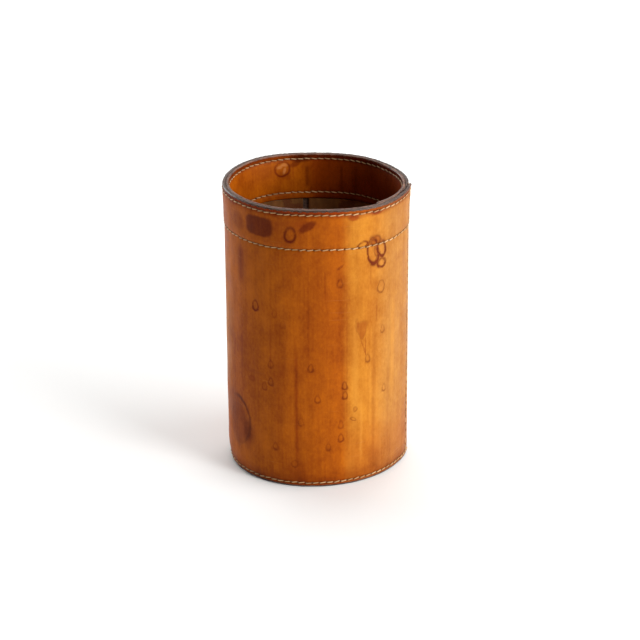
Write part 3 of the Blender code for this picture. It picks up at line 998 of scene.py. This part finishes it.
# across, level, half width, half height, lean, taper, line width, line, fill
LARGE_MARKS = [
    (-12, 128, 2.5, 3.5, -8, 0.15, 1.0, 1.0, -0.10),
    (21, 122, 2.6, 1.5, 20, 0.0, 0.7, 1.2, -0.2),
    (26, 118, 3, 6.5, 8, 0.1, 1.1, 1.3, 0.05),
    (27, 123, 3, 2.5, 0, 0.0, 0.8, 0.8, 0.5),
    (30, 118, 2.5, 3.8, 12, -0.15, 1.1, 1.3, 0.0),
    (30, 111, 2.4, 2.2, 0, 0.0, 1.0, 1.2, -0.1),
    (28, 117, 1.5, 3, 20, 0.0, 0.8, 0.6, 0.35),
    (-29, 90, 1.7, 2.4, 0, 0.2, 0.7, 0.9, 0.1),
    (30, 99, 2.2, 3, 0, 0.1, 0.7, 0.6, 0.0),
    (11, 112, 1.5, 0.5, 40, 0.0, 0.5, 0.5, 0.4),
    (21, 79, 2.5, 4.5, 4, -0.6, 0.5, 0.3, 0.42),
    (19, 83, 0.8, 2.2, 6, 0.0, 0.5, 0.25, 0.22),
    (22, 70, 0.4, 4.4, 19, 0.0, 0.2, 0.5, 0.45),
    (-31, 52, 2.2, 1.3, 10, 0.0, 0.8, 0.2, 0.35),
    (18, 39, 0.9, 1.1, 0, 0.0, 0.5, 0.5, 0.3),
    (17, 34, 1.5, 0.7, -30, 0.0, 0.5, 0.6, 0.0),
    (-11, 12, 1.6, 1.7, 0, 0.0, 0.6, 0.45, 0.0),
]

# across, level, how dark: small pear-shaped drops, all of one size
SMALL_DROPS = [
    (11, 104, 0.5),
    (-20, 88, 0.3),
    (-16, 83, 0.3),
    (24, 64, 0.6),
    (31, 77, 0.5),
    (-22, 62, 0.5),
    (-3, 62, 0.6),
    (-22, 53, 0.6),
    (-25, 50, 0.5),
    (13, 52, 0.75),
    (13, 47, 0.8),
    (0, 46, 0.6),
    (32, 46, 0.6),
    (-8, 34, 0.45),
    (11, 32, 0.5),
    (11, 25, 0.7),
    (5, 21, 0.5),
    (-20, 20, 0.6),
]
FRONT_DROPS = at_front(LARGE_MARKS)
FRONT_DROPS += [
    (front(across), level, 1.2, 1.9, 0, 0.3, 0.6, dark, 0.05) for across, level, dark in SMALL_DROPS
]

# across, low, high, half width, strength
DARK_RUNS = [
    (4, 97, 111, 0.9, 0.45),
    (-4, 60, 100, 1.1, 0.35),
    (-10, 4, 80, 1.6, 0.75),
    (-22, 55, 84, 0.9, 0.4),
    (25, 99, 118, 1.0, 0.35),
    (28, 80, 93, 0.9, 0.35),
    (12, 14, 106, 2.4, 0.22),
    (14, 2, 122, 0.9, 0.25),
    (27, 2, 90, 1.9, 0.42),
    (23, 64, 76, 0.6, 0.6),
    (-36, 96, 120, 3.4, 0.55),
    (34, 10, 70, 1.6, 0.25),
]
FRONT_STREAKS = at_front(DARK_RUNS)

LIGHT_RUNS = [(18, 22, 96, 2.8, 0.28), (36, 30, 100, 3.0, 0.25), (21, 8, 50, 1.4, 0.35)]
LIGHT_STREAKS = at_front(LIGHT_RUNS)


def sector(graph, where_u, start, end):
    """Eases from 0 at one angle to 1 at another."""
    return graph.step(where_u, start * ARC, end * ARC)


def leather_tone(graph, seed):
    """Light and dark of vegetable-tanned leather: clouds, mottling and long runs down the hide."""
    cloud = graph.noise(graph.place(46.0, 60.0, seed), 3.0)
    run = graph.noise(graph.place(6.5, 120.0, seed + 3.0), 4.0, 0.6)
    thin_run = graph.noise(graph.place(1.3, 46.0, seed + 5.0), 3.0, 0.6)
    mottle = graph.noise(graph.place(7.0, 9.0, seed + 7.0), 5.0, 0.65)
    speckle = graph.noise(graph.place(1.2, 1.9, seed + 9.0), 4.0, 0.7)
    tone = (cloud - 0.5) * 0.8 + (run - 0.5) * 0.45 + (thin_run - 0.5) * 0.3
    return tone + (mottle - 0.5) * 0.75 + (speckle - 0.5) * 0.55 + 0.5


def grain(graph, seed):
    """Height of the leather's pores and creases, in millimetres."""
    pores, _ = graph.cells(graph.place(0.55, 0.55, seed))
    creases = graph.noise(graph.place(1.6, 1.1, seed + 1.0), 4.0, 0.6)
    swells = graph.noise(graph.place(6.0, 8.0, seed + 2.0), 2.0)
    return graph.step(pores, 0.0, 0.35) * 0.015 + creases * 0.06 + swells * 0.14


def scratches(graph, seed):
    """Hairlines along the strip: 1 on a scratch."""
    fine = graph.noise(graph.place(34.0, 0.42, seed), 2.0, 0.5)
    gate = graph.noise(graph.place(22.0, 16.0, seed + 4.0), 2.0)
    return graph.step(fine, 0.66, 0.74) * graph.step(gate, 0.46, 0.6)


def scattered_drops(graph, where_u, where_v, seed):
    """A field of dried drops for the sides that have no marks of their own."""
    where = graph.vector(where_u / 9.0, where_v / 12.0, seed)
    distance, draws = graph.cells(where)
    radius = draws[0] * 0.10 + 0.09
    line = graph.near(distance - radius, 0.0, 0.045)
    return line * graph.step(draws[1], 0.62, 0.75)


def row_dirt_and_shade(graph, rows):
    """Darkening along stitch rows: dirt, and painted shade in their grooves and holes."""
    total = None
    for row, width in rows:
        dirt_and_shade = graph.near(graph.v, row, width)
        total = dirt_and_shade if total is None else graph.most(total, dirt_and_shade)
    return total


def wall_leather():
    graph = Graph("tan_saddle_leather", 0.42, 0.14, 1.3)
    u, v = graph.u, graph.v
    wobble = graph.noise(graph.place(3.2, 3.2, 2.0), 3.0, 0.6)
    wobble_2 = graph.noise(graph.place(3.2, 3.2, 9.0), 3.0, 0.6)
    moved_u = u + (wobble - 0.5) * 1.5
    moved_v = v + (wobble_2 - 0.5) * 1.5
    where = graph.vector(moved_u, moved_v)
    tone = leather_tone(graph, 0.0)

    # The right of the front is a lighter, yellower stretch of the hide; the whitish tint over its right is
    # painted sheen
    bright = sector(graph, u + (wobble - 0.5) * 3.0, -76.0, -67.0)
    back_cloud = graph.noise(graph.place(60.0, 90.0, 31.0), 2.0)
    behind = sector(graph, u, -150.0, -175.0)
    bright = graph.most(bright, behind * graph.step(back_cloud, 0.42, 0.62))
    far_side = sector(graph, u + (wobble - 0.5) * 6.0, -300.0, -345.0)
    bright = graph.most(bright, far_side * 0.85)
    red = graph.blend(graph.step(tone, 0.05, 0.95), (0.21, 0.034, 0.0006), (0.45, 0.108, 0.0026))
    yellow = graph.blend(graph.step(tone, 0.05, 0.95), (0.31, 0.084, 0.0045), (0.53, 0.205, 0.020))
    colour = graph.blend(bright, red, yellow)
    # Painted sheen: a whitish, less red tint on the right of the cup, from the front round past the lap,
    # in place of a grazing reflection of the lights
    pale_painted_sheen = sector(graph, u + (wobble - 0.5) * 6.0, -60.0, -36.0)
    pale_painted_sheen = graph.most(pale_painted_sheen, sector(graph, u, -315.0, -355.0) * 0.8)
    colour = graph.stain(pale_painted_sheen, colour, (0.82, 0.94, 1.9))
    low = graph.step(v + (wobble - 0.5) * 10.0, 42.0, 14.0) * bright
    colour = graph.stain(low, colour, (0.86, 0.70, 0.62))
    light_runs = streaks(graph, u + (wobble - 0.5) * 2.0, v, LIGHT_STREAKS)
    colour = graph.blend(light_runs, colour, (0.56, 0.23, 0.03))

    # Burnished darker under the rim and at the hem; along the rows, dirt and painted shade of the stitch
    # grooves
    redden = graph.noise(graph.place(9.0, 5.0, 12.0), 3.0, 0.6)
    rim_zone = graph.step(v + (redden - 0.5) * 4.0, 135.0, 138.3)
    colour = graph.stain(rim_zone * 0.85, colour, (0.55, 0.24, 0.12))
    hem_zone = graph.step(v + (redden - 0.5) * 9.0, 11.0, 1.0)
    colour = graph.stain(hem_zone * 0.7, colour, (0.50, 0.30, 0.2))
    dirt_and_shade = row_dirt_and_shade(graph, ((RIM_ROW, 1.0), (BAND_ROW, 0.9), (HEM_ROW, 1.1)))
    colour = graph.stain(dirt_and_shade * 0.28, colour, (0.45, 0.28, 0.2))
    seam = graph.near(u, SEAM_DEG * ARC, 1.1)
    colour = graph.stain(seam * 0.25, colour, (0.40, 0.25, 0.2))
    edge = graph.step(u, (LAP_DEG - 2.4) * ARC, LAP_DEG * ARC)
    colour = graph.stain(edge * 0.12, colour, (0.40, 0.22, 0.15))

    # Runs, dried drops and patches
    runs = streaks(graph, u + (wobble - 0.5) * 1.2, v, FRONT_STREAKS)
    colour = graph.stain(runs, colour, (0.58, 0.36, 0.24))
    lines, fills = drops(graph, where, FRONT_DROPS)
    broken = graph.noise(graph.place(2.2, 2.2, 40.0), 2.0)
    lines = lines * (graph.step(broken, 0.25, 0.5) * 0.5 + 0.5)
    colour = graph.stain(graph.math("MAXIMUM", fills, 0.0), colour, (0.58, 0.27, 0.16))
    colour = graph.stain(lines, colour, (0.32, 0.13, 0.09))
    away = sector(graph, u, -150.0, -165.0)
    spots = scattered_drops(graph, moved_u, moved_v, 50.0) * (away * 0.85 + 0.15)
    colour = graph.stain(spots * 0.6, colour, (0.40, 0.24, 0.14))
    pools = graph.noise(graph.place(38.0, 34.0, 60.0), 2.0, 0.5, 0.4)
    tide = graph.near(pools, 0.64, 0.022) * 0.6 + graph.step(pools, 0.62, 0.72) * 0.5
    colour = graph.stain(tide * away * 0.6, colour, (0.42, 0.25, 0.2))

    # The dark blotch under the rim at the left, its fainter side and the smear below it
    colour = blotches(graph, colour, where)

    marks = scratches(graph, 70.0)
    colour = graph.blend(marks * 0.10, colour, (0.75, 0.45, 0.2))
    height = grain(graph, 80.0) - marks * 0.03
    shine = graph.noise(graph.place(12.0, 14.0, 90.0), 4.0, 0.6)
    roughness = (shine - 0.5) * 0.35 + 0.44 + lines * 0.08 + marks * 0.1
    return graph.finish(colour, height, roughness)


def blotches(graph, colour, where):
    """Wide stains of the front: (mark, softness of its side, share, colour that it multiplies by)."""
    purple = (0.42, 0.24, 0.36)
    wide = [
        ((-27, 130, 8.5, 5, 0, 0.0), 0.20, 0.92, (0.40, 0.24, 0.26)),
        ((-37, 129, 5, 5, 0, 0.0), 0.5, 0.55, (0.45, 0.32, 0.28)),
        ((-36, 108, 4, 11, 8, 0.0), 0.6, 0.45, (0.5, 0.34, 0.36)),
        ((-4, 132, 5, 2, 35, 0.0), 0.35, 0.75, (0.42, 0.22, 0.18)),
        ((17, 136, 3, 1.6, 0, 0.0), 0.5, 0.8, (0.55, 0.20, 0.10)),
        ((27, 137, 3.5, 1.5, 0, 0.0), 0.6, 0.8, (0.50, 0.17, 0.12)),
        ((-38, 26, 8.5, 12.5, 0, 0.0), 0.35, 0.6, purple),
        ((-33, 22, 4, 8, 0, 0.0), 0.7, 0.75, (0.45, 0.30, 0.38)),
        ((27, 11, 5, 7, 0, 0.0), 0.8, 0.45, (0.55, 0.35, 0.25)),
        ((-11, 8, 6, 6, 0, 0.0), 0.8, 0.4, (0.55, 0.35, 0.25)),
        ((-6, 133, 9, 3, 0, 0.0), 0.9, 0.35, (0.6, 0.28, 0.2)),
    ]
    for index, (mark, soft, share, tint) in enumerate(wide):
        is_blotch = index == 0
        reach, _ = mark_reach(graph, where, at_front([mark])[0], boxy=is_blotch)
        colour = graph.stain(graph.step(reach, 1.0 + soft * 0.5, 1.0 - soft) * share, colour, tint)
    reach, y = mark_reach(graph, where, (front(-38), 27, 10.5, 13, 0, 0.0))
    right = graph.step(graph.u, front(-41) * ARC, front(-36) * ARC)
    ring = graph.near(reach, 0.95, 0.13) * (y * 0.35 + 0.65) * right
    return graph.stain(ring * 0.95, colour, (0.30, 0.20, 0.24))


def band_leather():
    """The same leather inside the mouth, cleaner and a little darker."""
    graph = Graph("tan_band_leather", 0.45, 0.12, 1.3)
    u, v = graph.u, graph.v
    wobble = graph.noise(graph.place(3.0, 3.0, 5.0), 3.0, 0.6)
    where = graph.vector(u + (wobble - 0.5) * 1.4, v + (wobble - 0.5) * 1.4)
    tone = leather_tone(graph, 20.0)
    colour = graph.blend(graph.step(tone, 0.05, 0.95), (0.20, 0.034, 0.0006), (0.44, 0.105, 0.0022))
    rim_zone = graph.step(v + (wobble - 0.5) * 3.0, 135.5, 138.6)
    colour = graph.stain(rim_zone * 0.75, colour, (0.45, 0.22, 0.14))
    # Painted shade: the inside of the band's right and back right, which the near wall shades from the
    # lights, is darkened
    painted_shade_side = sector(graph, u + (wobble - 0.5) * 9.0, 102.0, 88.0)
    painted_shade_side = painted_shade_side * sector(graph, u, -40.0, -10.0)
    colour = graph.stain(painted_shade_side * 0.85, colour, (0.45, 0.24, 0.20))
    foot_zone = graph.step(v + (wobble - 0.5) * 3.0, 121.0, 117.6)
    colour = graph.stain(foot_zone * 0.5, colour, (0.5, 0.3, 0.2))
    # Dirt and painted shade along the stitch rows
    dirt_and_shade = row_dirt_and_shade(graph, ((RIM_ROW, 1.0), (BAND_ROW, 1.0)))
    colour = graph.stain(dirt_and_shade * 0.5, colour, (0.45, 0.28, 0.2))
    lap = graph.step(u, (BAND_LAP_DEG + 2.5) * ARC, BAND_LAP_DEG * ARC)
    colour = graph.stain(lap * 0.6, colour, (0.4, 0.25, 0.2))

    # Runs down the back, a dark patch at the rim, and a drop ring at its left with painted highlights in
    # it
    inside_runs = [
        (back(-4), 122, 136, 2.0, 0.7),
        (back(13), 120, 137, 1.6, 0.6),
        (back(20), 118, 138, 3.0, 0.4),
    ]
    runs = streaks(graph, u + (wobble - 0.5) * 1.2, v, inside_runs)
    colour = graph.stain(runs, colour, (0.45, 0.3, 0.25))
    for mark, soft, share, tint in (
        ((back(-7), 138, 6, 2.4, 0, 0.0), 0.4, 0.8, (0.3, 0.18, 0.15)),
        ((back(-10), 135, 3.5, 1.8, -20, 0.0), 0.5, 0.7, (0.35, 0.15, 0.12)),
        ((back(-15), 130, 3, 2.6, 35, 0.0), 0.6, 0.5, (0.5, 0.3, 0.2)),
    ):
        reach, _ = mark_reach(graph, where, mark)
        colour = graph.stain(graph.step(reach, 1.0 + soft * 0.5, 1.0 - soft) * share, colour, tint)
    reach, y = mark_reach(graph, where, (back(-16), 133, 4, 3.6, -12, 0.0))
    outline = graph.near(reach, 1.0, 0.26) * (y * -0.2 + 0.75)
    colour = graph.stain(outline, colour, (0.42, 0.17, 0.10))
    # Painted highlights: three pale spots in the drop ring stand in for glints of light
    for mark in (
        (back(-17), 134, 1.9, 1.0, -15, 0.0),
        (back(-15), 135, 1.9, 0.9, 10, 0.0),
        (back(-15), 132, 0.8, 1.8, 25, 0.0),
    ):
        reach, _ = mark_reach(graph, where, mark)
        colour = graph.blend(graph.step(reach, 1.3, 0.5) * 0.4, colour, (0.60, 0.25, 0.07))
    spots = scattered_drops(graph, u + wobble, v + wobble, 55.0)
    colour = graph.stain(spots * 0.4, colour, (0.45, 0.28, 0.18))
    height = grain(graph, 85.0)
    shine = graph.noise(graph.place(12.0, 14.0, 95.0), 4.0, 0.6)
    return graph.finish(colour, height, (shine - 0.5) * 0.35 + 0.46)


def burnished_edge(name, dark, worn):
    """Cut edges: waxed, rubbed dark and glossy, worn paler in places."""
    graph = Graph(name, 0.36, 0.25, 1.4)
    wear = graph.noise(graph.place(5.0, 1.0, 0.0), 5.0, 0.7)
    fibre = graph.noise(graph.place(0.9, 0.3, 3.0), 3.0, 0.6)
    colour = graph.blend(graph.step(wear, 0.38, 0.66), dark, worn)
    colour = graph.blend(graph.step(fibre, 0.52, 0.75) * 0.3, colour, (0.22, 0.12, 0.075))
    pits = graph.noise(graph.place(1.8, 0.7, 6.0), 3.0, 0.6)
    colour = graph.stain(graph.step(pits, 0.42, 0.32), colour, (0.25, 0.2, 0.2))
    height = wear * 0.10 + fibre * 0.05
    return graph.finish(colour, height, (wear - 0.5) * 0.4 + 0.36)


def suede():
    graph = Graph("olive_brown_suede", 0.9, 0.15, 1.4)
    shader = graph.shader
    shader.inputs["Sheen Weight"].default_value = 0.35
    shader.inputs["Sheen Roughness"].default_value = 0.5
    shader.inputs["Sheen Tint"].default_value = (0.9, 0.7, 0.45, 1.0)
    nap = graph.noise(graph.place(0.5, 1.2, 0.0), 4.0, 0.7)
    brushed = graph.noise(graph.place(9.0, 22.0, 4.0), 3.0, 0.6)
    blot = graph.noise(graph.place(11.0, 9.0, 8.0), 3.0, 0.55)
    colour = graph.blend(graph.step(brushed, 0.3, 0.7), (0.110, 0.034, 0.006), (0.24, 0.085, 0.018))
    colour = graph.blend(graph.step(blot, 0.50, 0.60) * 0.85, colour, (0.10, 0.018, 0.004))
    colour = graph.blend(graph.step(nap, 0.3, 0.8) * 0.4, colour, (0.16, 0.09, 0.03))
    return graph.finish(colour, nap * 0.09 + brushed * 0.1)


def flesh_leather():
    """The base: leather whose rough side is out, rubbed smooth on its high places."""
    graph = Graph("base_leather", 0.62, 0.35, 1.4)
    fibre = graph.noise(graph.solid(0.9), 5.0, 0.7)
    cloud = graph.noise(graph.solid(14.0), 4.0, 0.6)
    blot = graph.noise(graph.solid(7.0), 3.0, 0.5, 0.6)
    colour = graph.blend(graph.step(cloud, 0.3, 0.7), (0.16, 0.060, 0.016), (0.33, 0.145, 0.05))
    colour = graph.blend(graph.step(blot, 0.56, 0.64) * 0.6, colour, (0.09, 0.032, 0.012))
    colour = graph.blend(graph.step(fibre, 0.5, 0.8) * 0.35, colour, (0.42, 0.22, 0.10))
    return graph.finish(colour, fibre * 0.10 + cloud * 0.1, (fibre - 0.5) * 0.3 + 0.64)


def fibreboard():
    graph = Graph("leatherboard_fibre", 0.85, 0.2)
    fibre = graph.noise(graph.solid(0.7), 5.0, 0.75)
    fleck = graph.noise(graph.solid(2.4), 3.0, 0.6)
    colour = graph.blend(graph.step(fibre, 0.3, 0.7), (0.20, 0.12, 0.06), (0.38, 0.26, 0.15))
    colour = graph.blend(graph.step(fleck, 0.6, 0.7), colour, (0.12, 0.06, 0.03))
    return graph.finish(colour, fibre * 0.08)


def felt():
    graph = Graph("brown_floor_felt", 1.0, 0.1)
    shader = graph.shader
    shader.inputs["Sheen Weight"].default_value = 0.4
    shader.inputs["Sheen Roughness"].default_value = 0.6
    shader.inputs["Sheen Tint"].default_value = (0.8, 0.6, 0.4, 1.0)
    fibre = graph.noise(graph.solid(0.45), 5.0, 0.8, 1.2)
    tuft = graph.noise(graph.solid(3.5), 4.0, 0.6)
    colour = graph.blend(graph.step(tuft, 0.3, 0.7), (0.055, 0.026, 0.010), (0.115, 0.056, 0.022))
    colour = graph.blend(graph.step(fibre, 0.52, 0.8) * 0.6, colour, (0.22, 0.13, 0.06))
    return graph.finish(colour, fibre * 0.22 + tuft * 0.15)


def thread(name, light, dark):
    """Waxed linen thread. u counts stitches and v goes once round the thread."""
    graph = Graph(name, 0.55, 0.3, 1.4)
    u, v = graph.u, graph.v
    share = graph.math("FRACT", u)
    hidden = graph.step(graph.math("ABSOLUTE", share - 0.5), 0.22, 0.44)
    each = graph.noise(graph.vector(graph.math("FLOOR", u) * 1.37, 0.0), 0.0)
    fibre = graph.noise(graph.vector(u * 30.0, (v + u * 1.6) * 26.0), 3.0, 0.6)
    colour = graph.blend(graph.step(each, 0.3, 0.7), dark, light)
    colour = graph.blend(graph.step(fibre, 0.35, 0.65) * 0.35, colour, dark)
    colour = graph.stain(hidden * 0.9, colour, (0.22, 0.12, 0.07))
    strands = graph.math("SINE", (v - u * TWISTS) * (3.0 * math.tau))
    return graph.finish(colour, strands * 0.03 + fibre * 0.03)


# ---- studio --------------------------------------------------------------------------------

CAMERA_DISTANCE = 1.073  # metres from the middle of the cup
CAMERA_ELEVATION = 21.75
CAMERA_AIM_LEVEL = 0.070
CAMERA_TILT = -0.055  # small turns that put the cup a little left of and above the middle
CAMERA_PAN = -0.083
CAMERA_ROLL = 0.57
LENS = 123.75
FLOOR_SIDE = 3.6
FLOOR_DROP = 0.0001  # metres, so that the foot doesn't share the floor's plane
FLOOR_COLOUR = (0.90, 0.905, 0.895, 1.0)
ROOM_STRENGTH = 0.06
BACKDROP_COLOUR = (0.97, 0.975, 0.98, 1.0)
LIGHT_AIM = Vector((0.0, 0.0, 0.07))

# name, azimuth, elevation, distance in metres, sides in metres, watts
LIGHTS = (
    ("key", -41.0, 29.0, 1.6, (0.45, 0.45), 11.0),
    ("side", -12.0, 24.0, 2.2, (2.2, 1.5), 38.0),
    ("low_side", -25.0, 9.0, 2.0, (2.0, 0.6), 24.0),
    ("kicker", 138.0, 13.0, 2.0, (1.4, 0.7), 26.0),
    ("back", 90.0, 45.0, 2.5, (2.5, 2.0), 42.0),
    ("overhead", 0.0, 88.0, 2.5, (3.0, 3.0), 24.0),
)


def build_camera():
    data = bpy.data.cameras.new("camera")
    data.lens = LENS
    data.sensor_width = 36.0
    data.clip_end = 50.0
    camera = bpy.data.objects.new("camera", data)
    bpy.context.scene.collection.objects.link(camera)
    elevation = math.radians(CAMERA_ELEVATION)
    away = CAMERA_DISTANCE * math.cos(elevation)
    above = CAMERA_DISTANCE * math.sin(elevation) + CAMERA_AIM_LEVEL
    look = Matrix.Rotation(math.radians(90.0 - CAMERA_ELEVATION + CAMERA_TILT), 4, "X")
    pan = Matrix.Rotation(math.radians(CAMERA_PAN), 4, "Y")
    roll = Matrix.Rotation(math.radians(-CAMERA_ROLL), 4, "Z")
    camera.matrix_world = Matrix.Translation((0.0, -away, above)) @ look @ pan @ roll
    bpy.context.scene.camera = camera


def area_light(name, azimuth, elevation, distance, size, watts):
    """A soft light that faces the cup. azimuth is in the degrees of this script."""
    data = bpy.data.lights.new(name, "AREA")
    data.shape = "RECTANGLE"
    data.size, data.size_y = size
    data.energy = watts
    light = bpy.data.objects.new(name, data)
    bpy.context.scene.collection.objects.link(light)
    across = distance * math.cos(math.radians(elevation))
    angle = math.radians(azimuth)
    above = distance * math.sin(math.radians(elevation))
    place_at = LIGHT_AIM + Vector((across * math.cos(angle), across * math.sin(angle), above))
    light.location = place_at
    light.rotation_mode = "QUATERNION"
    light.rotation_quaternion = (LIGHT_AIM - place_at).to_track_quat("-Z", "Y")


def build_studio():
    scene = bpy.context.scene
    scene.view_settings.view_transform = "Standard"
    half = FLOOR_SIDE / 2
    mesh = bpy.data.meshes.new("studio_floor")
    corners = [(-half, -half, 0), (half, -half, 0), (half, half, 0), (-half, half, 0)]
    mesh.from_pydata(corners, [], [(0, 1, 2, 3)])
    floor = bpy.data.objects.new("studio_floor", mesh)
    floor.location.z = -FLOOR_DROP
    scene.collection.objects.link(floor)
    paper = bpy.data.materials.new("pale_paper")
    paper.use_nodes = True
    shader = paper.node_tree.nodes["Principled BSDF"]
    shader.inputs["Base Color"].default_value = FLOOR_COLOUR
    shader.inputs["Roughness"].default_value = 0.9
    shader.inputs["Specular IOR Level"].default_value = 0.1
    mesh.materials.append(paper)

    world = bpy.data.worlds.new("studio")
    scene.world = world
    world.use_nodes = True
    nodes, links = world.node_tree.nodes, world.node_tree.links
    room = nodes["Background"]
    room.inputs["Color"].default_value = (1.0, 1.0, 1.0, 1.0)
    room.inputs["Strength"].default_value = ROOM_STRENGTH
    seen = nodes.new("ShaderNodeBackground")
    seen.inputs["Color"].default_value = BACKDROP_COLOUR
    path = nodes.new("ShaderNodeLightPath")
    mix = nodes.new("ShaderNodeMixShader")
    links.new(path.outputs["Is Camera Ray"], mix.inputs[0])
    links.new(room.outputs[0], mix.inputs[1])
    links.new(seen.outputs[0], mix.inputs[2])
    links.new(mix.outputs[0], nodes["World Output"].inputs["Surface"])

    for light in LIGHTS:
        area_light(*light)


# ---- the cup -------------------------------------------------------------------------------


def main():
    build_camera()
    build_studio()
    edge = burnished_edge("burnished_wall_edge", (0.040, 0.023, 0.018), (0.13, 0.078, 0.058))
    band_edge = burnished_edge("burnished_band_edge", (0.065, 0.032, 0.022), (0.26, 0.13, 0.085))
    build_wall(wall_leather(), edge)
    build_band(band_leather(), band_edge)
    build_lining(suede())
    build_dish(flesh_leather(), edge)
    build_board(fibreboard())
    build_floor(felt())
    needle = thread("cream_linen_thread", (0.66, 0.43, 0.22), (0.40, 0.22, 0.09))
    bobbin = thread("inner_linen_thread", (0.55, 0.36, 0.19), (0.34, 0.19, 0.08))
    build_threads(needle, bobbin)


main()
